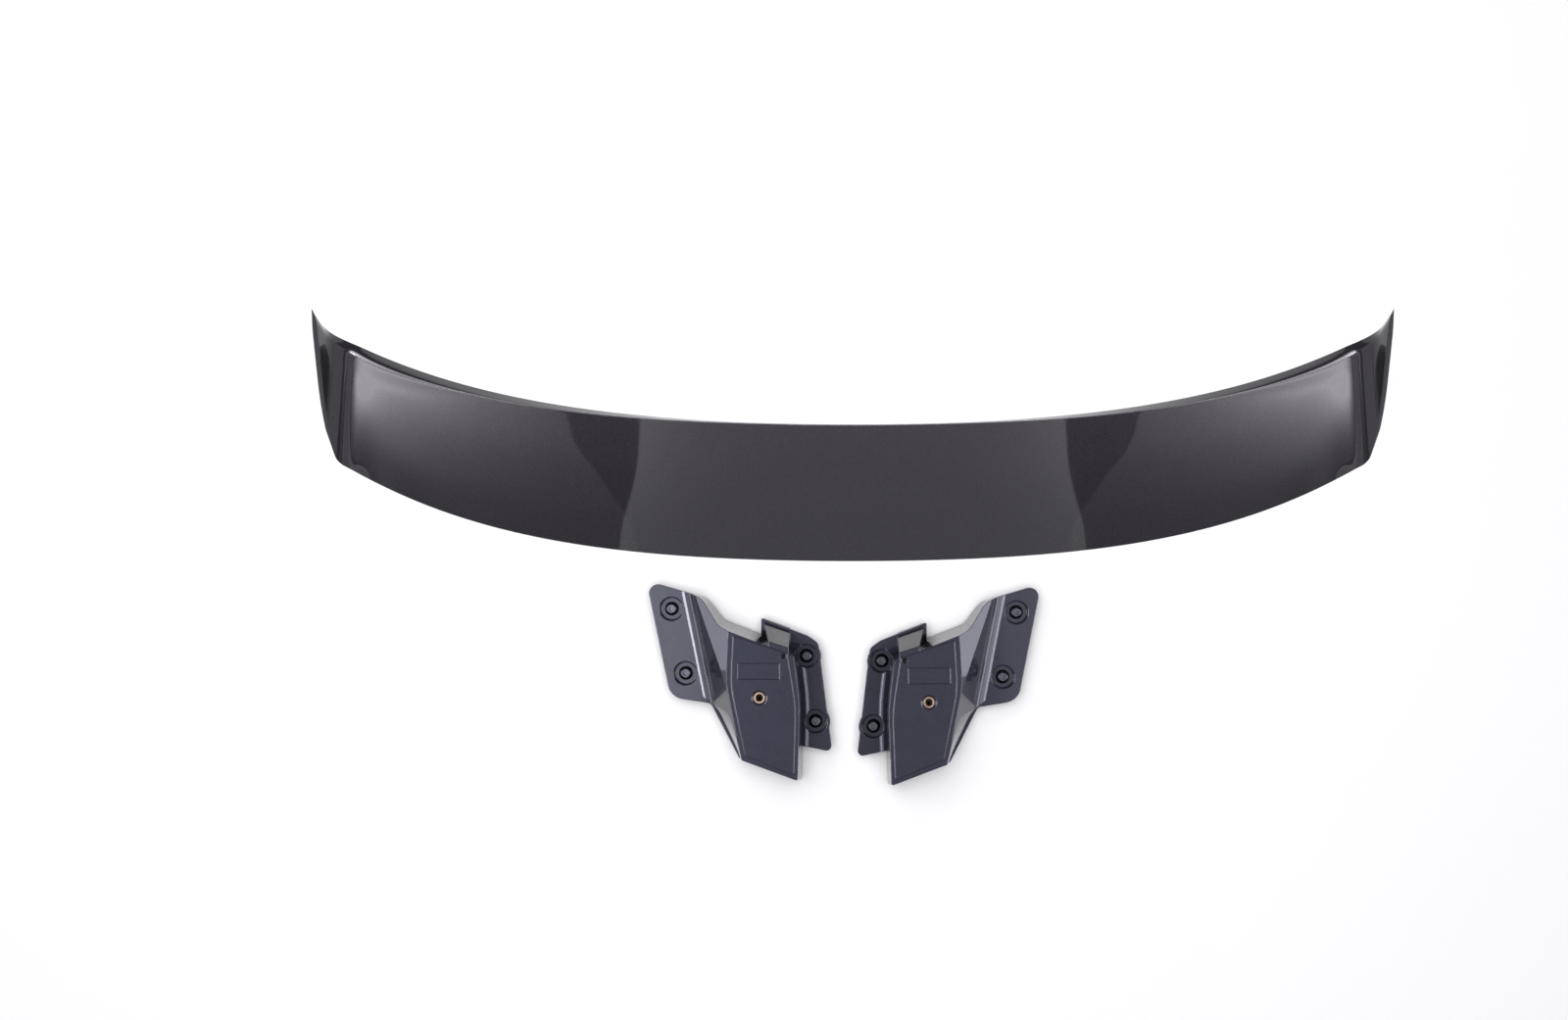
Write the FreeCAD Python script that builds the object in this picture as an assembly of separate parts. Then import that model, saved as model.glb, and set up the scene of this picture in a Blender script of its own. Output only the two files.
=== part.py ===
import FreeCAD, Part
import math
import os
from FreeCAD import Vector

# Rear spoiler set in millimetres: a painted blade with curled-up ends, lying on its flat underside,
# and behind it a left and a right mounting stand, each standing on the tips of its four bolts.
# X runs along the span, Y points to the leading edge, Z is up and the floor is z = 0.

# Blade
FLAT_HALF_SPAN = 503.5      # middle of the blade to where the leading edge starts to curl up
CURL_DELAY = 6.0            # the curl starts this much further out at the trailing edge
CURL_RADIUS = 24.0
CURL_ANGLE = 80.0
CHORD = 139.5
FRONT_SWEEP = (39.548, 40.489)  # forward sweep at the flat end: square and fourth-power parts
TRAIL_SWEEP = (36.759, 53.664)
BLADE_HEIGHT = 17.0         # underside to the crease above the front face
CROWN = 0.8                 # rise of the top behind the crease
TRAIL_DROP = 9.5            # fall of the top to the trailing edge
TRAIL_THICK = 3.5
FRONT_FACE = 12.0           # height of the front face
FRONT_LEAN = (1.0, 8.0)     # lean of the front face in the middle and at the ends
LEAN_SHARES = (0.159, 0.953)    # shares of the flat half span between which the lean grows
CREASE_ROUND = 4.6
FIN_SHARE = 0.36            # thickness of the fin as a share of the blade's
TAPER_LEAD = 31.5           # the blade starts to thin this far inside the curl
TAPER_RUN = 46.0            # and is as thin as the fin after this run
FIN_TIP_RUN = 60.5          # start of the curl to the tip of the fin, along the curled span
REAR_RIM_RUN = 17.5         # start of the curl to where the fin's top edge meets the trailing edge
REAR_CORNER_RUN = 18.5      # start of the curl to the rear corner before rounding
REAR_CORNER_FLARE = 0.30    # outward run of the end edge ahead of that corner
REAR_CORNER_ROUND = 20.0
REAR_CORNER_TRIM = 0.7      # the corner's outline passes this far behind the trailing edge
RIM_FALL = 0.5              # outward fall of the fin's top edge
SEAT_INSET = 68.0           # bush axis under the fitted blade: inside the curl
SEAT_BEHIND = 61.45         # and behind the leading edge
FLAT_STATIONS = (0.139, 0.278, 0.417, 0.556, 0.685, 0.794, 0.874, 0.9295, 0.961, 0.981, 0.995)
CURL_STATIONS = (0.104, 0.2835, 0.4625, 0.6415, 0.8205, 1.0, 1.179, 1.388, 1.626, 1.985, 2.581)

# Fixings
BOLT_RADIUS = 4.0
BOLT_LENGTH = 20.0
BOLT_HEAD_RADIUS = 7.0
BOLT_HEAD_HEIGHT = 4.4
BOLT_SOCKET = 5.0
BOLT_SOCKET_DEPTH = 2.8
BOLT_CLEARANCE = 0.4
BOLT_TIP_CHAMFER = 0.8
BOLT_NECK_RADIUS = 3.6      # plain neck inside the flange
BOLT_NECK_SHOWN = 0.5       # length of neck below the flange
BOLT_HEAD_EDGE = 0.9
BUSH_RADIUS = 5.4
BUSH_BORE = 3.2
BUSH_LENGTH = 14.0
INSERT_RADIUS = 4.5
INSERT_BORE = 2.55
INSERT_LENGTH = 11.0
PRESS_GAP = 0.02

# Stand, left hand, from the axis of its bush: x inboard, y forward
RECESS_RADIUS = 11.2
RECESS_DEPTH = 5.6
FLANGE_WEB = 4.5            # plastic left under a bolt head
PAD_RISE = 44.0             # flange to pad
DRAFT = 6.0
WALL = 3.6
PAD = [(-29.6, 66.5, 1.5), (31.0, 47.3, 1.5), (40.0, -8.0, 150.0), (38.0, -82.7, 1.5), (-17.7, -59.5, 1.5),
       (-32.4, 12.0, 110.0)]
FOOT = [(-116.0, 114.0, 9.0), (-54.5, 96.5, 22.0), (-38.0, 74.5, 16.0), (36.5, 46.0, 2.0),
        (43.0, -8.0, 200.0), (40.8, -89.0, 2.0), (-21.5, -66.0, 2.0), (-50.8, -9.5, 6.0), (-91.5, -3.5, 18.0)]
FOOT_DRAFT = [0.0, 1.0, 1.0, 0.55, 0.55, 1.0, 0.0, 0.0, 0.0]   # share of the draft on each side of the foot
INNER_FLANGE = [(0.0, 76.5, 1.5), (46.5, 58.5, 12.0), (57.5, 51.0, 9.0), (71.5, -58.5, 5.0),
                (20.0, -48.0, 2.0), (0.0, 40.0, 2.0)]
SLOPE_TOP = [(-26.0, 110.0), PAD[0][:2], (-31.4, 35.0), (-31.4, 14.0), (-28.6, -5.4), (-25.3, -25.0),
             PAD[4][:2], (-10.0, -95.0)]
SLOPE_FOOT = [(-98.0, 128.0), (-94.0, 84.0), (-92.0, 42.0), (-81.0, 9.0), (-52.5, -12.0), (-41.5, -28.5),
              FOOT[6][:2], (-13.0, -101.0)]
GUSSET_FOOT = [(1.5, 76.0), (28.8, 66.0), (29.0, 40.0), (4.0, 45.0)]
GUSSET_TOP = [(9.0, 55.6), (29.0, 49.2), (29.0, 40.0), (9.0, 45.0)]
PAD_BORDER = 4.2
PAD_FIELD_RISE = 0.8
OUTER_BOLTS = ((-90.6, 85.6), (-76.3, 20.6))
INNER_BOLTS = ((45.5, 38.0), (54.6, -27.8))
CORNER_HOLE = (23.7, 41.4)
CORNER_HOLE_RADIUS = 2.7
DISH_RADIUS = 7.6
DISH_DEPTH = 1.2
PLAQUE = (-21.4, 18.4, 41.4, 15.6)
PLAQUE_DEPTH = 0.8
SCOOP_FRONT = (-75.3, 115.0)
SCOOP_REAR = (-49.0, -12.5)
SCOOP_SLOPE = 64.0
SCOOP_ROUND = 12.0
INNER_FOOT_ROUND = 7.0      # rounding where the inner wall meets its flange
ROUND_STEPS = 6
BOSS_WALL = 3.5
BOSS_BELOW = 4.0            # the boss reaches this far below the bush
RIB = 2.6
RIB_FOOT = 30.0
RIB_ACROSS = (-24.0, 36.0)
RIB_ALONG = (-66.0, 50.0)
RIM_CHAMFER = 1.0
STAND_COVER = 150.0         # half the side of a block that covers a stand in plan

# Places in the layout
BLADE_FRONT = 87.2          # leading edge ahead of the layout's middle
LEFT_STAND = (-92.2, -185.2)
RIGHT_STAND = (75.1, -189.7)
RIGHT_TURN = 0.6

SEAT_Z = BOLT_LENGTH
FLANGE_TOP = SEAT_Z + RECESS_DEPTH
FLANGE_LOW = SEAT_Z - FLANGE_WEB
PAD_TOP = FLANGE_TOP + PAD_RISE


def smooth(value, start, end):
    share = min(1.0, max(0.0, (value - start) / (end - start)))
    return share * share * (3.0 - 2.0 * share)


def sweep(span, factors):
    share = span / FLAT_HALF_SPAN
    return factors[0] * share ** 2 + factors[1] * share ** 4


def front_edge(span):
    return BLADE_FRONT + sweep(span, FRONT_SWEEP)


def trail_edge(span):
    return BLADE_FRONT - CHORD + sweep(span, TRAIL_SWEEP)


# Point of the blade: place along the curled span, chord share from the front, height over the crease line.
def blade_point(span, back, y, rise):
    side = -1.0 if span < 0 else 1.0
    reach = abs(span)
    start = FLAT_HALF_SPAN + CURL_DELAY * back
    full = math.radians(CURL_ANGLE)
    angle = min(full, max(0.0, (reach - start) / CURL_RADIUS))
    beyond = max(0.0, reach - start - CURL_RADIUS * full)
    x = min(reach, start) + CURL_RADIUS * math.sin(angle) + beyond * math.cos(full)
    z = CURL_RADIUS * (1.0 - math.cos(angle)) + beyond * math.sin(full)
    x -= rise * math.sin(angle)
    z += rise * math.cos(angle)
    return Vector(side * x, y, BLADE_HEIGHT + z)


def blade_section(span):
    reach = abs(span)
    taper = FLAT_HALF_SPAN - TAPER_LEAD
    share = 1.0 - (1.0 - FIN_SHARE) * smooth(reach, taper, taper + TAPER_RUN)
    grown = smooth(reach / FLAT_HALF_SPAN, LEAN_SHARES[0], LEAN_SHARES[1])
    lean = FRONT_LEAN[0] + (FRONT_LEAN[1] - FRONT_LEAN[0]) * grown
    front = front_edge(reach)
    trail = trail_edge(reach)
    crease = front - lean
    chord = crease - trail

    def at(back, rise):
        return blade_point(span, back, crease - back * chord, rise * share)

    def ahead(y, rise):
        return at((crease - y) / chord, rise)

    edge = CREASE_ROUND / chord
    floor = -BLADE_HEIGHT
    front_lift = 0.32 * (BLADE_HEIGHT - FRONT_FACE)
    trail_lift = 0.3 * (BLADE_HEIGHT - TRAIL_DROP - TRAIL_THICK)
    low_front = ahead(front, -FRONT_FACE)
    round_low = ahead(crease + lean * CREASE_ROUND / FRONT_FACE, -CREASE_ROUND)
    round_top = at(edge, CROWN / 12.0)
    trail_top = at(1.0, -TRAIL_DROP)
    trail_low = at(1.0, -TRAIL_DROP - TRAIL_THICK)
    top = [round_top, at(3.0 * edge, CROWN / 4.0), at(0.2, CROWN), at(0.4, CROWN)]
    top += [at(0.65, -0.21 * TRAIL_DROP), at(0.85, -0.65 * TRAIL_DROP), trail_top]
    low = [trail_low, at(0.93, floor + trail_lift), at(0.85, floor), at(0.6, floor), at(0.3, floor)]
    low += [at(0.08, floor), at(0.03, floor + front_lift), low_front]
    return [top, [trail_top, trail_low], low, [low_front, round_low], [round_low, at(0.0, 0.0), round_top]]


# Smooth surface over a net of poles; neighbours that share a row of poles share the edge.
def net_surface(rows):
    def knots(count, degree):
        spans = count - degree
        return [degree + 1] + [1] * (spans - 1) + [degree + 1], [float(k) for k in range(spans + 1)]

    across = min(3, len(rows[0]) - 1)
    u_mults, u_knots = knots(len(rows), 3)
    v_mults, v_knots = knots(len(rows[0]), across)
    surface = Part.BSplineSurface()
    surface.buildFromPolesMultsKnots(rows, u_mults, v_mults, u_knots, v_knots, False, False, 3, across)
    return surface


def blade_solid():
    arc = CURL_RADIUS * math.radians(CURL_ANGLE)
    half = [share * FLAT_HALF_SPAN for share in FLAT_STATIONS]
    half += [FLAT_HALF_SPAN + share * arc for share in CURL_STATIONS]
    stations = [-s for s in reversed(half)] + [0] + half
    sections = [blade_section(s) for s in stations]
    surfaces = [net_surface([section[k] for section in sections]) for k in range(len(sections[0]))]
    faces = [surface.toShape() for surface in surfaces]
    for end in (0, 1):
        rims = [surface.uIso(surface.bounds()[end]).toShape() for surface in surfaces]
        faces.append(Part.Face(Part.Wire(Part.__sortEdges__(rims))))
    shell = Part.makeShell(faces)
    shell.sewShape()
    body = Part.makeSolid(shell)
    if body.Volume < 0:
        body.reverse()
    for side in (-1.0, 1.0):
        body = body.cut(fin_cutter(side)).cut(corner_cutter(side))
    return body.Solids[0]


# Everything above the slanting top edge of a fin.
def fin_cutter(side):
    tip_span = FLAT_HALF_SPAN + FIN_TIP_RUN
    rear_span = FLAT_HALF_SPAN + REAR_RIM_RUN
    tip = blade_point(tip_span, 0.0, front_edge(tip_span), 0.0)
    rear = blade_point(rear_span, 1.0, trail_edge(rear_span), -TRAIL_DROP * FIN_SHARE)
    along = rear - tip
    normal = along.cross(Vector(1.0, 0.0, -RIM_FALL))
    normal.normalize()
    along.normalize()
    across = normal.cross(along)
    corner = tip - along * CHORD - across * 1.5 * CHORD
    sides = [along * 3.5 * CHORD, across * 3.0 * CHORD]
    far = corner + sides[0] + sides[1]
    base = Part.makePolygon([corner, corner + sides[0], far, corner + sides[1], corner])
    cutter = Part.Face(base).extrude(normal * CHORD)
    if side < 0:
        cutter = cutter.mirror(Vector(0, 0, 0), Vector(1, 0, 0))
    return cutter


# Closed outline with rounded corners from (x, y, radius) corners, each in order.
def outline(corners, z):
    edges = []
    first = None
    last = None
    count = len(corners)
    for i in range(count):
        x, y, radius = corners[i]
        here = Vector(x, y, z)
        back = Vector(corners[i - 1][0], corners[i - 1][1], z) - here
        ahead = Vector(corners[(i + 1) % count][0], corners[(i + 1) % count][1], z) - here
        back.normalize()
        ahead.normalize()
        half = back.getAngle(ahead) / 2.0
        reach = radius / math.tan(half)
        middle = back + ahead
        middle.normalize()
        start = here + back * reach
        end = here + ahead * reach
        top = here + middle * (radius / math.sin(half) - radius)
        if last is not None:
            edges.append(Part.makeLine(last, start))
        else:
            first = start
        edges.append(Part.Arc(start, top, end).toShape())
        last = end
    edges.append(Part.makeLine(last, first))
    return Part.Wire(edges)


# Moves each side of an outline inwards by its own distance; side i runs from corner i to the next.
def inset(corners, distances):
    count = len(corners)
    lines = []
    for i in range(count):
        here = Vector(corners[i][0], corners[i][1], 0)
        along = Vector(corners[(i + 1) % count][0], corners[(i + 1) % count][1], 0) - here
        along.normalize()
        lines.append((here + Vector(along.y, -along.x, 0) * distances[i], along))
    result = []
    for i in range(count):
        p0, d0 = lines[i - 1]
        p1, d1 = lines[i]
        cross = d0.x * d1.y - d0.y * d1.x
        gap = p1 - p0
        share = (gap.x * d1.y - gap.y * d1.x) / cross
        corner = p0 + d0 * share
        result.append((corner.x, corner.y, corners[i][2]))
    return result


def prism(corners, low, high):
    return Part.Face(outline(corners, low)).extrude(Vector(0, 0, high - low))


def cylinder(radius, low, high, place):
    return Part.makeCylinder(radius, high - low, Vector(place[0], place[1], low))


# Body under the pad and its long outer slope: rulings run from the pad's outer edge down to the foot.
def slope_block(shrink):
    wires = []
    for points, z in ((SLOPE_FOOT, FLANGE_LOW), (SLOPE_TOP, PAD_TOP)):
        line = [Vector(x + 1.25 * shrink, y, z - shrink) for x, y in points]
        curve = Part.BSplineCurve()
        curve.interpolate(line)
        level = line[0].z
        inner = [Vector(STAND_COVER, line[k].y, level) for k in (-1, 0)]
        ends = [line[-1], inner[0], inner[1], line[0]]
        wires.append(Part.Wire([curve.toShape()] + [Part.makeLine(ends[k], ends[k + 1]) for k in range(3)]))
    return Part.makeLoft(wires, True, True)


def foot_block(shrink):
    low = [shrink] * len(FOOT)
    rise = (PAD_TOP - FLANGE_LOW) * math.tan(math.radians(DRAFT))
    high = [shrink + rise * share for share in FOOT_DRAFT]
    wires = [outline(inset(FOOT, low), FLANGE_LOW - shrink), outline(inset(FOOT, high), PAD_TOP - shrink)]
    return Part.makeLoft(wires, True, True)


# Concave rounding at the foot of the inner wall: thin drafted slices from the flange up the wall.
def inner_foot():
    wires = []
    for step in range(ROUND_STEPS + 1):
        angle = math.pi / 2.0 * step / ROUND_STEPS
        z = FLANGE_TOP + INNER_FOOT_ROUND * (1.0 - math.cos(angle))
        rise = (z - FLANGE_LOW) * math.tan(math.radians(DRAFT))
        out = INNER_FOOT_ROUND * (1.0 - math.sin(angle))
        wires.append(outline(inset(FOOT, [rise * share - out for share in FOOT_DRAFT]), z))
    body = Part.makeLoft(wires, True, True)
    return body.common(prism(INNER_FLANGE, FLANGE_TOP, FLANGE_TOP + INNER_FOOT_ROUND))


# Space over the outer flange, with its leaning wall and the rounded foot of that wall.
def scoop_block(grow):
    along = Vector(SCOOP_REAR[0] - SCOOP_FRONT[0], SCOOP_REAR[1] - SCOOP_FRONT[1], 0)
    length = along.Length + 60.0
    along.normalize()
    inward = Vector(-along.y, along.x, 0)
    start = Vector(SCOOP_FRONT[0], SCOOP_FRONT[1], FLANGE_TOP - grow) - along * 30.0 + inward * grow
    slope = math.radians(SCOOP_SLOPE)
    reach = SCOOP_ROUND * math.tan(slope / 2.0)
    up = inward * math.cos(slope) + Vector(0, 0, math.sin(slope))
    flat_end = start - inward * reach
    wall_start = start + up * reach
    centre = flat_end + Vector(0, 0, SCOOP_ROUND)
    bisect = start - centre
    bisect.normalize()
    wall_end = start + up * 80.0
    far_top = wall_end - inward * 200.0
    far_low = Vector(far_top.x, far_top.y, start.z)
    section = Part.Wire([Part.makeLine(far_low, flat_end),
                         Part.Arc(flat_end, centre + bisect * SCOOP_ROUND, wall_start).toShape(),
                         Part.makeLine(wall_start, wall_end), Part.makeLine(wall_end, far_top),
                         Part.makeLine(far_top, far_low)])
    return Part.Face(section).extrude(along * length)


def gusset():
    wires = []
    for points, z in ((GUSSET_FOOT, FLANGE_LOW), (GUSSET_TOP, PAD_TOP)):
        wires.append(Part.makePolygon([Vector(x, y, z) for x, y in points + points[:1]]))
    return Part.makeLoft(wires, True, True)


# Block that covers a whole stand in plan.
def cover(low, high):
    side = 2.0 * STAND_COVER
    return Part.makeBox(side, side, high - low, Vector(-STAND_COVER, -STAND_COVER, low))


# Left stand with the axis of its bush on the origin.
def stand_solid():
    body = slope_block(0.0).common(foot_block(0.0))
    plate = foot_block(0.0).common(cover(FLANGE_LOW, FLANGE_TOP))
    body = body.fuse(plate).cut(scoop_block(0.0))
    body = body.fuse(prism(INNER_FLANGE, FLANGE_LOW, FLANGE_TOP)).fuse(gusset()).fuse(inner_foot())
    hollow = slope_block(WALL).common(foot_block(WALL)).cut(scoop_block(WALL))
    body = body.cut(hollow)
    under_pad = PAD_TOP - WALL
    boss = cylinder(BUSH_RADIUS + BOSS_WALL, PAD_TOP - BUSH_LENGTH - BOSS_BELOW, under_pad + 0.5, (0, 0))
    height = under_pad - RIB_FOOT
    ribs = Part.makeBox(RIB_ACROSS[1] - RIB_ACROSS[0], RIB, height, Vector(RIB_ACROSS[0], -RIB / 2, RIB_FOOT))
    along = Part.makeBox(RIB, RIB_ALONG[1] - RIB_ALONG[0], height, Vector(-RIB / 2, RIB_ALONG[0], RIB_FOOT))
    ribs = ribs.fuse(along)
    body = body.fuse(ribs.common(hollow)).fuse(boss)
    border_z = PAD_TOP - PAD_FIELD_RISE
    field = prism(inset(PAD, [PAD_BORDER] * len(PAD)), border_z - 1.0, PAD_TOP + 1.0)
    body = body.cut(cover(border_z, PAD_TOP + 1.0).cut(field))
    for place in OUTER_BOLTS + INNER_BOLTS:
        body = body.fuse(cylinder(RECESS_RADIUS + WALL, FLANGE_LOW, FLANGE_TOP, place))
        body = body.cut(cylinder(RECESS_RADIUS, SEAT_Z, FLANGE_TOP + SCOOP_ROUND, place))
        body = body.cut(cylinder(BOLT_RADIUS + BOLT_CLEARANCE, FLANGE_LOW - 1.0, SEAT_Z + 1.0, place))
        foot = Vector(place[0], place[1], FLANGE_TOP - RIM_CHAMFER)
        body = body.cut(Part.makeCone(RECESS_RADIUS, RECESS_RADIUS + RIM_CHAMFER, RIM_CHAMFER, foot))
    bush_hole_low = PAD_TOP - BUSH_LENGTH - 2.0 * BOSS_BELOW
    body = body.cut(cylinder(BUSH_RADIUS + PRESS_GAP, bush_hole_low, PAD_TOP + 1.0, (0, 0)))
    dish = Part.makeCone(BUSH_RADIUS, DISH_RADIUS, DISH_DEPTH, Vector(0, 0, PAD_TOP - DISH_DEPTH))
    body = body.cut(dish)
    body = body.cut(cylinder(CORNER_HOLE_RADIUS, PAD_TOP - 3.0 * WALL, PAD_TOP + 1.0, CORNER_HOLE))
    corner = Vector(PLAQUE[0], PLAQUE[1], PAD_TOP - PLAQUE_DEPTH)
    body = body.cut(Part.makeBox(PLAQUE[2], PLAQUE[3], PLAQUE_DEPTH + 1.0, corner))
    return body.Solids[0]


def bolt_solid(place):
    r = BOLT_RADIUS
    head = BOLT_HEAD_RADIUS
    top = SEAT_Z + BOLT_HEAD_HEIGHT
    tip = SEAT_Z - BOLT_LENGTH
    flat = 0.56 * head
    neck = BOLT_NECK_RADIUS
    neck_z = FLANGE_LOW - BOLT_NECK_SHOWN
    points = [(0, tip), (r - BOLT_TIP_CHAMFER, tip), (r, tip + BOLT_TIP_CHAMFER), (r, neck_z - r + neck),
              (neck, neck_z), (neck, SEAT_Z), (head, SEAT_Z), (head, SEAT_Z + BOLT_HEAD_EDGE)]
    side = [Vector(x, 0, z) for x, z in points]
    edges = [Part.makeLine(side[k], side[k + 1]) for k in range(len(side) - 1)]
    dome = Vector(0.86 * head, 0, SEAT_Z + 0.66 * BOLT_HEAD_HEIGHT)
    crown = Vector(flat, 0, top)
    edges.append(Part.Arc(side[-1], dome, crown).toShape())
    edges.append(Part.makeLine(crown, Vector(0, 0, top)))
    edges.append(Part.makeLine(Vector(0, 0, top), side[0]))
    body = Part.Face(Part.Wire(edges)).revolve(Vector(0, 0, 0), Vector(0, 0, 1), 360)
    across = BOLT_SOCKET / math.sqrt(3.0)
    turns = [math.radians(60 * k) for k in range(7)]
    hexagon = [Vector(across * math.cos(a), across * math.sin(a), top - BOLT_SOCKET_DEPTH) for a in turns]
    socket = Part.Face(Part.makePolygon(hexagon)).extrude(Vector(0, 0, BOLT_SOCKET_DEPTH + 1.0))
    body = body.cut(socket).Solids[0]
    body.translate(Vector(place[0], place[1], 0))
    return body


# Bush sunk below the pad by the depth of its dish.
def bush_solid():
    high = PAD_TOP - DISH_DEPTH
    low = PAD_TOP - BUSH_LENGTH
    body = cylinder(BUSH_RADIUS, low, high, (0, 0)).cut(cylinder(BUSH_BORE, low - 1.0, high + 1.0, (0, 0)))
    lead = Part.makeCone(BUSH_BORE, BUSH_BORE + 0.7, 0.7, Vector(0, 0, high - 0.7))
    return body.cut(lead).Solids[0]


def insert_solid(place):
    body = cylinder(INSERT_RADIUS, 0.2, INSERT_LENGTH, place)
    return body.cut(cylinder(INSERT_BORE, -1.0, INSERT_LENGTH + 1.0, place)).Solids[0]


def placed(shape, side):
    if side == "left":
        result = shape.copy()
        spot = LEFT_STAND
    else:
        result = shape.mirror(Vector(0, 0, 0), Vector(1, 0, 0))
        result.rotate(Vector(0, 0, 0), Vector(0, 0, 1), RIGHT_TURN)
        spot = RIGHT_STAND
    result.translate(Vector(spot[0], spot[1], 0))
    return result


# What lies outside the rounded rear corner of the blade, seen from above.
def corner_cutter(side):
    def trail_point(span):
        return Vector(span, trail_edge(span) - REAR_CORNER_TRIM, -BLADE_HEIGHT)

    span = FLAT_HALF_SPAN + REAR_CORNER_RUN
    corner = trail_point(span)
    inner = trail_point(span - 1.5 * REAR_CORNER_ROUND) - corner
    outer = Vector(REAR_CORNER_FLARE, 1.0, 0)
    inner.normalize()
    outer.normalize()
    half = inner.getAngle(outer) / 2.0
    reach = REAR_CORNER_ROUND / math.tan(half)
    middle = inner + outer
    middle.normalize()
    start = corner + inner * reach
    end = corner + outer * reach
    top = corner + middle * (REAR_CORNER_ROUND / math.sin(half) - REAR_CORNER_ROUND)
    far = corner - middle * 3.0 * REAR_CORNER_ROUND
    ahead = end + outer * 3.5 * REAR_CORNER_ROUND
    edges = [Part.Arc(start, top, end).toShape(), Part.makeLine(end, ahead), Part.makeLine(ahead, far),
             Part.makeLine(far, start)]
    cutter = Part.Face(Part.Wire(edges)).extrude(Vector(0, 0, CHORD))
    if side < 0:
        cutter = cutter.mirror(Vector(0, 0, 0), Vector(1, 0, 0))
    return cutter


nodes = {}
blade = blade_solid()
seat_span = FLAT_HALF_SPAN - SEAT_INSET
for sign in (-1, 1):
    seat = (sign * seat_span, front_edge(seat_span) - SEAT_BEHIND)
    blade = blade.cut(cylinder(INSERT_RADIUS + PRESS_GAP, -1.0, INSERT_LENGTH + 1.0, seat))
    nodes["blade_insert_left" if sign < 0 else "blade_insert_right"] = insert_solid(seat)
nodes["blade"] = blade.Solids[0]
stand = stand_solid()
for side in ("left", "right"):
    nodes[side + "_stand"] = placed(stand, side)
    nodes[side + "_bush"] = placed(bush_solid(), side)
    for number, place in enumerate(OUTER_BOLTS + INNER_BOLTS):
        nodes["%s_bolt_%d" % (side, number + 1)] = placed(bolt_solid(place), side)

# The set's box is centred on the origin and stands on the floor.
boxes = [shape.optimalBoundingBox(False) for shape in nodes.values()]
middle_y = (min(box.YMin for box in boxes) + max(box.YMax for box in boxes)) / 2.0
os.makedirs("parts", exist_ok=True)
for name, shape in nodes.items():
    shape.translate(Vector(0, -middle_y, 0))
    box = shape.optimalBoundingBox(False)
    print("%-20s valid %s solids %d volume %.0f z %.2f to %.2f" % (
        name, shape.isValid(), len(shape.Solids), shape.Volume, box.ZMin, box.ZMax))
    shape.exportStep("parts/" + name + ".step")
print("front of the layout's middle moved by %.3f" % -middle_y)
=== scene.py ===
import bmesh
import bpy
import math
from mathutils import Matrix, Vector


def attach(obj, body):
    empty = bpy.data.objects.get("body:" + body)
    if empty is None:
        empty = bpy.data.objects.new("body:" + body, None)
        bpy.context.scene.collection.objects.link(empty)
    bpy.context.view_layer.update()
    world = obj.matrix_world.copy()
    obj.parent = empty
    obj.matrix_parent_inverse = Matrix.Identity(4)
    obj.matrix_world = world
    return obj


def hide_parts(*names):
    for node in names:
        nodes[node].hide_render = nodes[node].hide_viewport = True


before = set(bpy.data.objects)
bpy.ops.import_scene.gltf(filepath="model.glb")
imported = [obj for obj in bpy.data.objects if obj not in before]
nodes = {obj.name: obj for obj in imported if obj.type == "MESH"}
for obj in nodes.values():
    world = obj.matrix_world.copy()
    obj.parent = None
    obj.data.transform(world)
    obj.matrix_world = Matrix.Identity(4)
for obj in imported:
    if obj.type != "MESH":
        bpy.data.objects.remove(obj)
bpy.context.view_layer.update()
scene = bpy.context.scene
print("loaded", len(nodes), "nodes")

# Layout: the photo's middle lies this far ahead of the set's own middle
layout = {"shiftY": 0.039391}


# Shader helpers
def newMaterial(name):
    material = bpy.data.materials.new(name)
    material.use_nodes = True
    tree = material.node_tree
    shader = tree.nodes["Principled BSDF"]
    return material, tree, shader


def effectGroup(name, sockets):
    group = bpy.data.node_groups.new(name, "ShaderNodeTree")
    for label, way, kind in sockets:
        group.interface.new_socket(name=label, in_out=way, socket_type=kind)
    return group, group.nodes.new("NodeGroupInput"), group.nodes.new("NodeGroupOutput")


def speckleGroup():
    group, start, end = effectGroup("speckle", [
        ("Base", "INPUT", "NodeSocketColor"), ("Spark", "INPUT", "NodeSocketColor"),
        ("Scale", "INPUT", "NodeSocketFloat"), ("Amount", "INPUT", "NodeSocketFloat"),
        ("Colour", "OUTPUT", "NodeSocketColor")])
    place = group.nodes.new("ShaderNodeTexCoord")
    cells = group.nodes.new("ShaderNodeTexVoronoi")
    ramp = group.nodes.new("ShaderNodeMapRange")
    ramp.inputs["From Min"].default_value = 0.35
    ramp.inputs["From Max"].default_value = 1.0
    times = group.nodes.new("ShaderNodeMath")
    times.operation = "MULTIPLY"
    mix = group.nodes.new("ShaderNodeMix")
    mix.data_type = "RGBA"
    link = group.links.new
    link(place.outputs["Object"], cells.inputs["Vector"])
    link(start.outputs["Scale"], cells.inputs["Scale"])
    link(cells.outputs["Color"], ramp.inputs["Value"])
    link(ramp.outputs["Result"], times.inputs[0])
    link(start.outputs["Amount"], times.inputs[1])
    link(times.outputs[0], mix.inputs["Factor"])
    link(start.outputs["Base"], mix.inputs["A"])
    link(start.outputs["Spark"], mix.inputs["B"])
    link(mix.outputs["Result"], end.inputs["Colour"])
    return group


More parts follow.
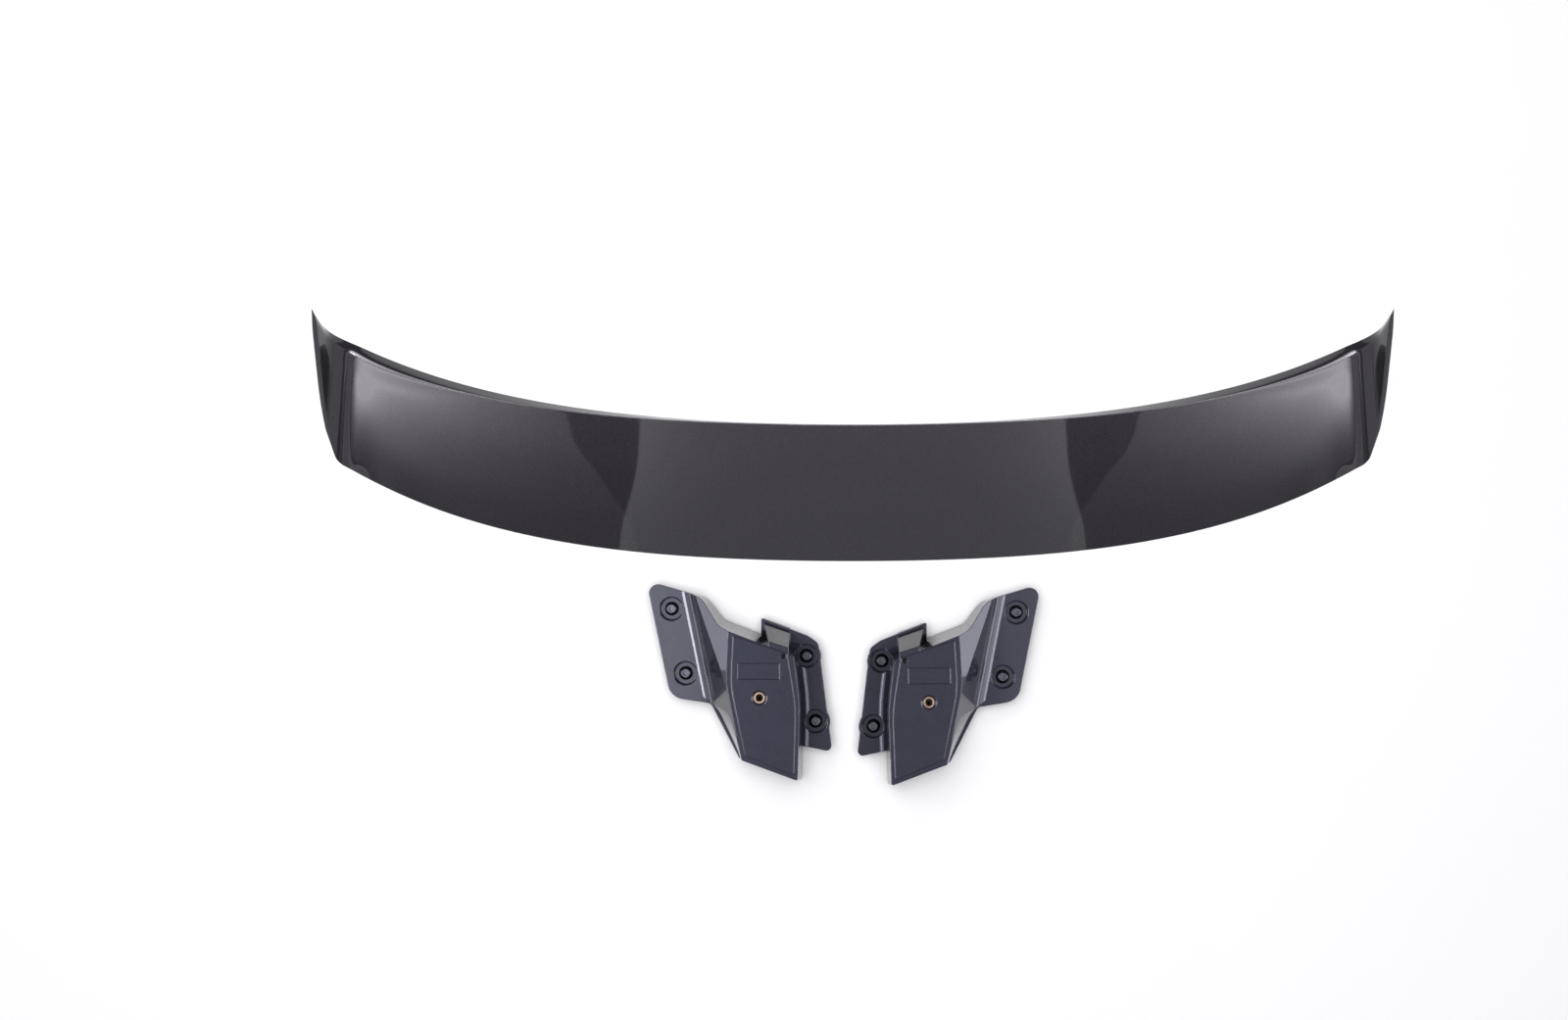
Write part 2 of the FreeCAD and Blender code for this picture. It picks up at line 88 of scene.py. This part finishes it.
def grainGroup():
    group, start, end = effectGroup("grain", [
        ("Scale", "INPUT", "NodeSocketFloat"), ("Low", "INPUT", "NodeSocketFloat"),
        ("High", "INPUT", "NodeSocketFloat"), ("Value", "OUTPUT", "NodeSocketFloat")])
    place = group.nodes.new("ShaderNodeTexCoord")
    noise = group.nodes.new("ShaderNodeTexNoise")
    noise.inputs["Detail"].default_value = 5.0
    ramp = group.nodes.new("ShaderNodeMapRange")
    ramp.inputs["From Min"].default_value = 0.3
    ramp.inputs["From Max"].default_value = 0.7
    link = group.links.new
    link(place.outputs["Object"], noise.inputs["Vector"])
    link(start.outputs["Scale"], noise.inputs["Scale"])
    link(noise.outputs["Fac"], ramp.inputs["Value"])
    link(start.outputs["Low"], ramp.inputs["To Min"])
    link(start.outputs["High"], ramp.inputs["To Max"])
    link(ramp.outputs["Result"], end.inputs["Value"])
    return group


speckle = speckleGroup()
grain = grainGroup()


def addGroup(tree, group, values):
    node = tree.nodes.new("ShaderNodeGroup")
    node.node_tree = group
    for label, value in values.items():
        node.inputs[label].default_value = value
    return node


# Finishes: a dark edge tint keeps the white floor out of grazing reflections
paint = {"base": (0.0150, 0.0136, 0.0168, 1.0), "spark": (0.048, 0.044, 0.053, 1.0), "flake": 2600.0,
         "amount": 0.55, "grain": 40.0, "metallic": 0.4, "rough": (0.22, 0.26), "shine": 0.15, "coat": 1.0,
         "coatRough": 0.02, "coatIndex": 1.43, "edgeTint": (0.1, 0.1, 0.1, 1.0)}


def paintMaterial():
    material, tree, shader = newMaterial("bladePaint")
    flakes = addGroup(tree, speckle, {"Base": paint["base"], "Spark": paint["spark"], "Scale": paint["flake"],
                                      "Amount": paint["amount"]})
    rough = addGroup(tree, grain, {"Scale": paint["grain"], "Low": paint["rough"][0], "High": paint["rough"][1]})
    tree.links.new(flakes.outputs["Colour"], shader.inputs["Base Color"])
    tree.links.new(rough.outputs["Value"], shader.inputs["Roughness"])
    shader.inputs["Metallic"].default_value = paint["metallic"]
    shader.inputs["Coat Weight"].default_value = paint["coat"]
    shader.inputs["Coat Roughness"].default_value = paint["coatRough"]
    shader.inputs["Coat IOR"].default_value = paint["coatIndex"]
    shader.inputs["Specular IOR Level"].default_value = paint["shine"]
    shader.inputs["Specular Tint"].default_value = paint["edgeTint"]
    return material


plastic = {"base": (0.0145, 0.0150, 0.0210, 1.0), "spark": (0.036, 0.037, 0.050, 1.0), "flake": 2200.0,
           "amount": 0.5, "grain": 60.0, "metallic": 0.3, "rough": (0.26, 0.31), "coat": 0.65, "coatRough": 0.05,
           "coatIndex": 1.45, "edge": 0.0011, "edgeTint": (0.1, 0.1, 0.1, 1.0)}


def plasticMaterial():
    material, tree, shader = newMaterial("standPlastic")
    flakes = addGroup(tree, speckle, {"Base": plastic["base"], "Spark": plastic["spark"], "Scale": plastic["flake"],
                                      "Amount": plastic["amount"]})
    rough = addGroup(tree, grain, {"Scale": plastic["grain"], "Low": plastic["rough"][0], "High": plastic["rough"][1]})
    tree.links.new(flakes.outputs["Colour"], shader.inputs["Base Color"])
    tree.links.new(rough.outputs["Value"], shader.inputs["Roughness"])
    soft = tree.nodes.new("ShaderNodeBevel")  # rounds the edges in shading only
    soft.samples = 6
    soft.inputs["Radius"].default_value = plastic["edge"]
    tree.links.new(soft.outputs["Normal"], shader.inputs["Normal"])
    tree.links.new(soft.outputs["Normal"], shader.inputs["Coat Normal"])
    shader.inputs["Metallic"].default_value = plastic["metallic"]
    shader.inputs["Coat Weight"].default_value = plastic["coat"]
    shader.inputs["Coat Roughness"].default_value = plastic["coatRough"]
    shader.inputs["Coat IOR"].default_value = plastic["coatIndex"]
    shader.inputs["Specular Tint"].default_value = plastic["edgeTint"]
    return material


metals = {
    "turnedBrass": {"base": (0.19, 0.130, 0.085, 1.0), "spark": (0.31, 0.225, 0.15, 1.0), "flake": 900.0,
                    "amount": 0.5, "grain": 300.0, "rough": (0.26, 0.40)},
    "blackSteel": {"base": (0.045, 0.046, 0.052, 1.0), "spark": (0.09, 0.091, 0.10, 1.0), "flake": 1500.0,
                   "amount": 0.5, "grain": 300.0, "rough": (0.24, 0.36)},
}


def metalMaterial(name):
    metal = metals[name]
    material, tree, shader = newMaterial(name)
    spots = addGroup(tree, speckle, {"Base": metal["base"], "Spark": metal["spark"], "Scale": metal["flake"],
                                     "Amount": metal["amount"]})
    vary = addGroup(tree, grain, {"Scale": metal["grain"], "Low": metal["rough"][0], "High": metal["rough"][1]})
    tree.links.new(spots.outputs["Colour"], shader.inputs["Base Color"])
    tree.links.new(vary.outputs["Value"], shader.inputs["Roughness"])
    shader.inputs["Metallic"].default_value = 1.0
    return material


bladePaint = paintMaterial()
standPlastic = plasticMaterial()
brass = metalMaterial("turnedBrass")
blackSteel = metalMaterial("blackSteel")
print("materials made")

for name, node in nodes.items():
    if "bolt" in name:
        material = blackSteel
    elif "bush" in name or "insert" in name:
        material = brass
    elif "stand" in name:
        material = standPlastic
    else:
        material = bladePaint
    node.data.materials.clear()
    node.data.materials.append(material)


def showPiece(name, mesh, node, material, sharpAngle):
    for polygon in mesh.polygons:
        polygon.use_smooth = True
    mesh.set_sharp_from_angle(angle=math.radians(sharpAngle))
    mesh.materials.clear()
    mesh.materials.append(material)
    piece = bpy.data.objects.new(name, mesh)
    scene.collection.objects.link(piece)
    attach(piece, "root")
    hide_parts(node)
    return piece


# Blade: a cage of cross-sections, smoothed, then trimmed at both ends
blade = {"flatHalfSpan": 0.5035, "curlDelay": 0.006, "curlRadius": 0.024, "curlAngle": 80.0, "chord": 0.1395,
         "front": 0.0872, "frontSweep": (0.039548, 0.040489), "trailSweep": (0.036759, 0.053664), "height": 0.017,
         "crown": 0.0008, "trailDrop": 0.0095, "trailThick": 0.0035, "frontFace": 0.012, "lean": (0.001, 0.008),
         "leanShares": (0.159, 0.953), "creaseRound": (0.0009, 0.0085), "roundShares": (0.74, 0.95),
         "finShare": 0.36, "taperLead": 0.0315, "taperRun": 0.046, "tipRun": 0.0605, "rimRun": 0.0175,
         "cornerRun": 0.0185, "cornerFlare": 0.30, "cornerRound": 0.020, "cornerTrim": 0.0007, "rimFall": 0.5,
         "levels": 2, "rimBevel": 0.0006, "sharpAngle": 32.0, "sharpRows": (6, 7, 14),
         "flatShares": (0.139, 0.278, 0.417, 0.556, 0.685, 0.794, 0.874, 0.9295, 0.961, 0.981, 0.995),
         "curlShares": (0.104, 0.2835, 0.4625, 0.6415, 0.8205, 1.0, 1.179, 1.388, 1.626, 1.985, 2.581)}


def ease(value, start, end):
    share = min(1.0, max(0.0, (value - start) / (end - start)))
    return share * share * (3.0 - 2.0 * share)


def bladeEdge(span, sweep, start):
    share = abs(span) / blade["flatHalfSpan"]
    return start + layout["shiftY"] + sweep[0] * share ** 2 + sweep[1] * share ** 4


def frontEdge(span):
    return bladeEdge(span, blade["frontSweep"], blade["front"])


def trailEdge(span):
    return bladeEdge(span, blade["trailSweep"], blade["front"] - blade["chord"])


# Wraps a point of the flat blade round the curl
def bladePoint(span, back, y, rise):
    side = -1.0 if span < 0 else 1.0
    reach = abs(span)
    start = blade["flatHalfSpan"] + blade["curlDelay"] * back
    full = math.radians(blade["curlAngle"])
    radius = blade["curlRadius"]
    angle = min(full, max(0.0, (reach - start) / radius))
    beyond = max(0.0, reach - start - radius * full)
    x = min(reach, start) + radius * math.sin(angle) + beyond * math.cos(full) - rise * math.sin(angle)
    z = radius * (1.0 - math.cos(angle)) + beyond * math.sin(full) + rise * math.cos(angle)
    return Vector((side * x, y, blade["height"] + z))


# One cross-section: over the top, round the trailing edge and back to the crease
def bladeRing(span):
    reach = abs(span)
    taper = blade["flatHalfSpan"] - blade["taperLead"]
    share = 1.0 - (1.0 - blade["finShare"]) * ease(reach, taper, taper + blade["taperRun"])
    grown = ease(reach / blade["flatHalfSpan"], *blade["leanShares"])
    lean = blade["lean"][0] + (blade["lean"][1] - blade["lean"][0]) * grown
    front = frontEdge(reach)
    crease = front - lean
    chord = crease - trailEdge(reach)
    sharp, soft = blade["creaseRound"]
    roundOff = sharp + (soft - sharp) * ease(reach / blade["flatHalfSpan"], *blade["roundShares"])
    edge = roundOff / chord
    crown, drop, floor = blade["crown"], blade["trailDrop"], -blade["height"]
    frontLift = 0.32 * (blade["height"] - blade["frontFace"])
    trailLift = 0.3 * (blade["height"] - drop - blade["trailThick"])
    low = -lean / chord
    # share of the chord behind the crease, and rise above it
    poles = [(edge, crown / 12), (2.3 * edge, crown / 5), (0.2, crown), (0.4, crown), (0.65, -0.21 * drop),
             (0.85, -0.65 * drop), (1.0, -drop), (1.0, -drop - blade["trailThick"]), (0.93, floor + trailLift),
             (0.85, floor), (0.6, floor), (0.3, floor), (0.08, floor), (0.03, floor + frontLift),
             (low, -blade["frontFace"]),
             (low * roundOff / blade["frontFace"], -roundOff), (0.0, 0.0)]
    return [bladePoint(span, back, crease - back * chord, rise * share) for back, rise in poles]


def trim(bm, point, normal, fill=True):
    geom = bm.verts[:] + bm.edges[:] + bm.faces[:]
    bmesh.ops.bisect_plane(bm, geom=geom, plane_co=point, plane_no=normal, dist=1e-6, clear_outer=True)
    rim = [e for e in bm.edges if e.is_boundary]
    if fill and rim:
        bmesh.ops.edgeloop_fill(bm, edges=rim)


def bladeMesh():
    arc = blade["curlRadius"] * math.radians(blade["curlAngle"])
    half = [share * blade["flatHalfSpan"] for share in blade["flatShares"]]
    half += [blade["flatHalfSpan"] + share * arc for share in blade["curlShares"]]
    stations = [-s for s in reversed(half)] + [0.0] + half
    bm = bmesh.new()
    crease = bm.edges.layers.float.new("crease_edge")
    ring = [bm.verts.new(p) for p in bladeRing(stations[0])]
    edges = [bm.edges.new((ring[k - 1], ring[k])) for k in range(len(ring))]
    for station in stations[1:]:
        made = bmesh.ops.extrude_edge_only(bm, edges=edges)["geom"]
        edges = [g for g in made if isinstance(g, bmesh.types.BMEdge)]
        fresh = [g for g in made if isinstance(g, bmesh.types.BMVert)]
        places = bladeRing(station)
        nextRing = []
        for k, old in enumerate(ring):
            new = next(e.other_vert(old) for e in old.link_edges if e.other_vert(old) in fresh)
            new.co = places[k]
            if k in blade["sharpRows"]:
                bm.edges.get((old, new))[crease] = 1.0
            nextRing.append(new)
        ring = nextRing
    cage = bpy.data.meshes.new("bladeCage")
    bm.to_mesh(cage)
    bm.free()
    holder = bpy.data.objects.new("bladeCage", cage)
    scene.collection.objects.link(holder)
    smoother = holder.modifiers.new("smooth", "SUBSURF")
    smoother.levels = blade["levels"]
    smoother.render_levels = blade["levels"]
    smoother.boundary_smooth = "PRESERVE_CORNERS"
    graph = bpy.context.evaluated_depsgraph_get()
    mesh = bpy.data.meshes.new_from_object(holder.evaluated_get(graph))
    bpy.data.objects.remove(holder)
    bm = bmesh.new()
    bm.from_mesh(mesh)
    bmesh.ops.recalc_face_normals(bm, faces=bm.faces)
    for side in (-1.0, 1.0):
        tipSpan = blade["flatHalfSpan"] + blade["tipRun"]
        rimSpan = blade["flatHalfSpan"] + blade["rimRun"]
        tip = bladePoint(side * tipSpan, 0.0, frontEdge(tipSpan), 0.0)
        rear = bladePoint(side * rimSpan, 1.0, trailEdge(rimSpan), -blade["trailDrop"] * blade["finShare"])
        normal = (rear - tip).cross(Vector((side, 0.0, -blade["rimFall"])))
        trim(bm, tip, normal * (1.0 if normal.z > 0 else -1.0))
        cornerSpan = blade["flatHalfSpan"] + blade["cornerRun"]
        corner = Vector((cornerSpan, trailEdge(cornerSpan) - blade["cornerTrim"], 0.0))
        inSpan = cornerSpan - 1.5 * blade["cornerRound"]
        inner = (Vector((inSpan, trailEdge(inSpan) - blade["cornerTrim"], 0.0)) - corner).normalized()
        outer = Vector((blade["cornerFlare"], 1.0, 0.0)).normalized()
        turn = inner.angle(outer)
        centre = corner + (inner + outer).normalized() * (blade["cornerRound"] / math.sin(turn / 2))
        start = math.atan2(corner.y - centre.y, corner.x - centre.x)
        spread = (math.pi - turn) / 2
        for k in range(9):
            angle = start + spread * (k / 4.0 - 1.0)
            away = Vector((math.cos(angle), math.sin(angle), 0.0))
            spot = centre + away * blade["cornerRound"]
            trim(bm, Vector((side * spot.x, spot.y, 0.0)), Vector((side * away.x, away.y, 0.0)))
    bm.normal_update()
    rims = [e for e in bm.edges if len(e.link_faces) == 2 and max(len(f.verts) for f in e.link_faces) > 8]
    bmesh.ops.bevel(bm, geom=rims, offset=blade["rimBevel"], offset_type="OFFSET", segments=2, profile=0.5,
                    affect="EDGES", clamp_overlap=True, material=-1)
    bmesh.ops.recalc_face_normals(bm, faces=bm.faces)
    bm.to_mesh(mesh)
    bm.free()
    return mesh


bladePiece = showPiece("bladePiece", bladeMesh(), "blade", bladePaint, blade["sharpAngle"])
print("blade made")

# Floor
stage = {"size": 6.0, "colour": (0.93, 0.93, 0.935, 1.0), "tone": (0.90, 0.90, 0.91, 1.0), "patch": 4.0,
         "amount": 0.15, "rough": 0.8, "shine": 0.1}
floorMesh = bpy.data.meshes.new("floor")
bm = bmesh.new()
bmesh.ops.create_grid(bm, x_segments=1, y_segments=1, size=stage["size"])
bm.to_mesh(floorMesh)
bm.free()
floor = bpy.data.objects.new("floor", floorMesh)
scene.collection.objects.link(floor)
floorLook, tree, shader = newMaterial("floorLook")
tint = addGroup(tree, speckle, {"Base": stage["colour"], "Spark": stage["tone"], "Scale": stage["patch"],
                                "Amount": stage["amount"]})
tree.links.new(tint.outputs["Colour"], shader.inputs["Base Color"])
shader.inputs["Roughness"].default_value = stage["rough"]
shader.inputs["Specular IOR Level"].default_value = stage["shine"]
floorMesh.materials.append(floorLook)

# Light: a dim room and soft panels
room = {"colour": (0.13, 0.132, 0.138, 1.0), "strength": 1.0}
world = bpy.data.worlds.new("room")
scene.world = world
world.use_nodes = True
background = world.node_tree.nodes["Background"]
background.inputs["Color"].default_value = room["colour"]
background.inputs["Strength"].default_value = room["strength"]
print("floor and room made")

# radiance is the brightness of the panel itself
panels = {
    "overhead": {"at": (0.0, -0.4, 4.0), "turn": (0.0, 0.0, 0.0), "size": (2.2, 5.2), "radiance": 0.80,
                 "edge": 2.0, "taper": (0.97, 0.40), "bend": 1.1, "waist": (0.35, 0.7), "for": "blade"},
    "leftRoof": {"at": (-1.685, -0.2, 4.0), "size": (1.7, 4.0), "turn": (0.0, 0.0, 0.5), "radiance": 0.065,
                 "grow": (7.4, 10.5, -6.9), "rest": (0.75, 2.8), "cap": 21.0, "spread": 60.0, "for": "blade"},
    "rightRoof": {"at": (1.685, -0.2, 4.0), "size": (1.7, 4.0), "turn": (0.0, 0.0, -0.5), "radiance": 0.065,
                  "grow": (7.4, 10.5, -6.9), "rest": (0.75, 2.8), "cap": 21.0, "spread": 60.0, "for": "blade"},
    "front": {"at": (0.0, 1.95, 2.4), "to": (0.0, 0.1, 0.0), "size": (1.7, 1.9), "radiance": 24.0,
              "fade": (0.0, 0.85), "for": "blade"},
    "leftFill": {"at": (-2.7, 0.1, 1.7), "to": (0.5, 0.15, 0.5), "size": (3.0, 3.4),
                 "radiance": 0.9, "for": "blade"},
    "rightFill": {"at": (2.7, 0.1, 1.7), "to": (-0.5, 0.15, 0.5), "size": (3.0, 3.4),
                  "radiance": 0.9, "for": "blade"},
    "standTop": {"at": (0.0, -0.4, 4.0), "turn": (0.0, 0.0, 0.0), "size": (2.2, 3.2),
                 "radiance": 0.45, "for": "stands"},
    "standSide": {"at": (-0.80, -0.4, 4.0), "turn": (0.0, 0.0, 0.0), "size": (0.7, 2.0),
                  "radiance": 3.2, "for": "stands"},
    "standFar": {"at": (0.80, -0.4, 4.0), "turn": (0.0, 0.0, 0.0), "size": (0.7, 2.0),
                 "radiance": 0.9, "for": "stands"},
    "left": {"at": (-2.6, -0.3, 2.3), "to": (0.0, -0.15, 0.0), "size": (1.6, 2.2),
             "radiance": 3.0, "for": "stands"},
    "right": {"at": (2.6, -0.3, 2.3), "to": (0.0, -0.15, 0.0), "size": (1.6, 2.2),
              "radiance": 5.0, "for": "stands"},
    "leftStrip": {"at": (-1.5, -0.2, 3.5), "to": (0.0, -0.15, 0.0), "size": (1.2, 1.1),
                  "radiance": 27.0, "for": "stands"},
    "rightStrip": {"at": (1.5, -0.2, 3.5), "to": (0.0, -0.15, 0.0), "size": (1.2, 1.1),
                   "radiance": 13.0, "for": "stands"},
    "leftLow": {"at": (-3.0, -0.2, 0.5), "to": (0.0, -0.15, 0.0), "size": (3.0, 0.9),
                "radiance": 5.0, "for": "stands"},
    "rightLow": {"at": (3.0, -0.2, 0.5), "to": (0.0, -0.15, 0.0), "size": (3.0, 0.9),
                 "radiance": 6.5, "for": "stands"},
    "frontLow": {"at": (0.0, 3.2, 1.0), "to": (0.0, -0.15, 0.0), "size": (2.4, 1.0),
                 "radiance": 0.4, "for": "stands"},
    "floorSky": {"at": (-0.7, 0.9, 3.2), "to": (0.0, 0.0, 0.0), "size": (3.2, 3.2),
                 "radiance": 2.1, "for": "floor"},
    "floorFill": {"at": (0.0, 0.0, 3.5), "turn": (0.0, 0.0, 0.0), "size": (2.2, 2.2),
                  "radiance": 5.4, "for": "floor"},
}


def mathNode(tree, operation, first, second, third=None):
    node = tree.nodes.new("ShaderNodeMath")
    node.operation = operation
    for socket, value in zip(node.inputs, (first, second, third)):
        if value is None:
            continue
        if isinstance(value, (int, float)):
            socket.default_value = value
        else:
            tree.links.new(value, socket)
    return node.outputs[0]


def shadePanel(light, panel):
    light.use_nodes = True
    tree = light.node_tree
    glow = tree.nodes["Emission"]
    where = tree.nodes.new("ShaderNodeNewGeometry")
    split = tree.nodes.new("ShaderNodeSeparateXYZ")
    tree.links.new(where.outputs["Parametric"], split.inputs["Vector"])
    u, v = split.outputs["X"], split.outputs["Y"]
    if "fade" in panel:  # weaker at the low end and at the sides
        low, reach = panel["fade"]
        side = mathNode(tree, "MULTIPLY_ADD", u, 2.0, -1.0)
        across = mathNode(tree, "SUBTRACT", 1.0, mathNode(tree, "MULTIPLY", side, side))
        along = mathNode(tree, "MINIMUM", mathNode(tree, "MULTIPLY_ADD", v, (1.0 - low) / reach, low), 1.0)
        strength = mathNode(tree, "MULTIPLY", across, along)
    elif "grow" in panel:  # stronger outwards and to the front
        across, along, start = panel["grow"]
        rest, rise = panel["rest"]
        outer = u if panel["at"][0] > 0 else mathNode(tree, "SUBTRACT", 1.0, u)
        power = mathNode(tree, "MULTIPLY_ADD", outer, across, mathNode(tree, "MULTIPLY_ADD", v, along, start))
        strength = mathNode(tree, "MINIMUM", mathNode(tree, "EXPONENT", power, None), panel["cap"])
        glimmer = mathNode(tree, "EXPONENT", mathNode(tree, "MULTIPLY", outer, rise), None)
        strength = mathNode(tree, "MULTIPLY_ADD", glimmer, rest, strength)
    else:  # narrower to the front
        side = mathNode(tree, "ABSOLUTE", mathNode(tree, "MULTIPLY_ADD", u, 2.0, -1.0), None)
        rear, front = panel["taper"]
        waist = mathNode(tree, "MULTIPLY", *[mathNode(tree, "SUBTRACT", v, at) for at in panel["waist"]])
        half = mathNode(tree, "MULTIPLY_ADD", v, front - rear, rear)
        half = mathNode(tree, "MULTIPLY_ADD", waist, panel["bend"], half)
        share = mathNode(tree, "DIVIDE", side, half)
        bow = mathNode(tree, "POWER", share, 4.0)
        level = mathNode(tree, "MULTIPLY_ADD", mathNode(tree, "MULTIPLY", bow, v), panel["edge"], 1.0)
        strength = mathNode(tree, "MULTIPLY", level, mathNode(tree, "LESS_THAN", share, 1.0))
    tree.links.new(strength, glow.inputs["Strength"])


# Each panel lights one group, the blade, the stands or the floor, as if they were lit one after the other
lit = {group: bpy.data.collections.new("lit" + group.title()) for group in ("blade", "stands", "floor")}
lit["floor"].objects.link(floor)
for piece in list(nodes.values()) + [bladePiece]:
    lit["blade" if "blade" in piece.name else "stands"].objects.link(piece)

tints = {"blade": (1.0, 0.985, 1.02), "stands": (0.96, 0.97, 1.09), "floor": (1.0, 0.99, 1.01)}
for name, panel in panels.items():
    light = bpy.data.lights.new(name, "AREA")
    light.color = tints[panel["for"]]
    light.shape = "RECTANGLE"
    light.size, light.size_y = panel["size"]
    light.energy = panel["radiance"] * math.pi * panel["size"][0] * panel["size"][1]
    light.spread = math.radians(panel.get("spread", 180.0))
    if any(key in panel for key in ("fade", "grow", "edge")):
        shadePanel(light, panel)
    lamp = bpy.data.objects.new(name, light)
    lamp.location = panel["at"]
    lamp.light_linking.receiver_collection = lit[panel["for"]]
    lamp.light_linking.blocker_collection = lit["blade" if panel["for"] == "blade" else "stands"]
    if "turn" in panel:
        lamp.rotation_euler = [math.radians(a) for a in panel["turn"]]
    else:
        aim = Vector(panel["to"]) - Vector(panel["at"])
        lamp.rotation_euler = aim.to_track_quat("-Z", "Y").to_euler()
    scene.collection.objects.link(lamp)

# Camera: straight down
lens = {"height": 2.0, "focal": 45.0, "sensor": 36.0, "shiftX": -70.2 / 1600.0}
camera = bpy.data.cameras.new("camera")
camera.lens = lens["focal"]
camera.sensor_width = lens["sensor"]
camera.shift_x = lens["shiftX"]
cameraObject = bpy.data.objects.new("camera", camera)
cameraObject.location = (0.0, layout["shiftY"], lens["height"])
scene.collection.objects.link(cameraObject)
scene.camera = cameraObject
scene.view_settings.view_transform = "Standard"

print("stage set")
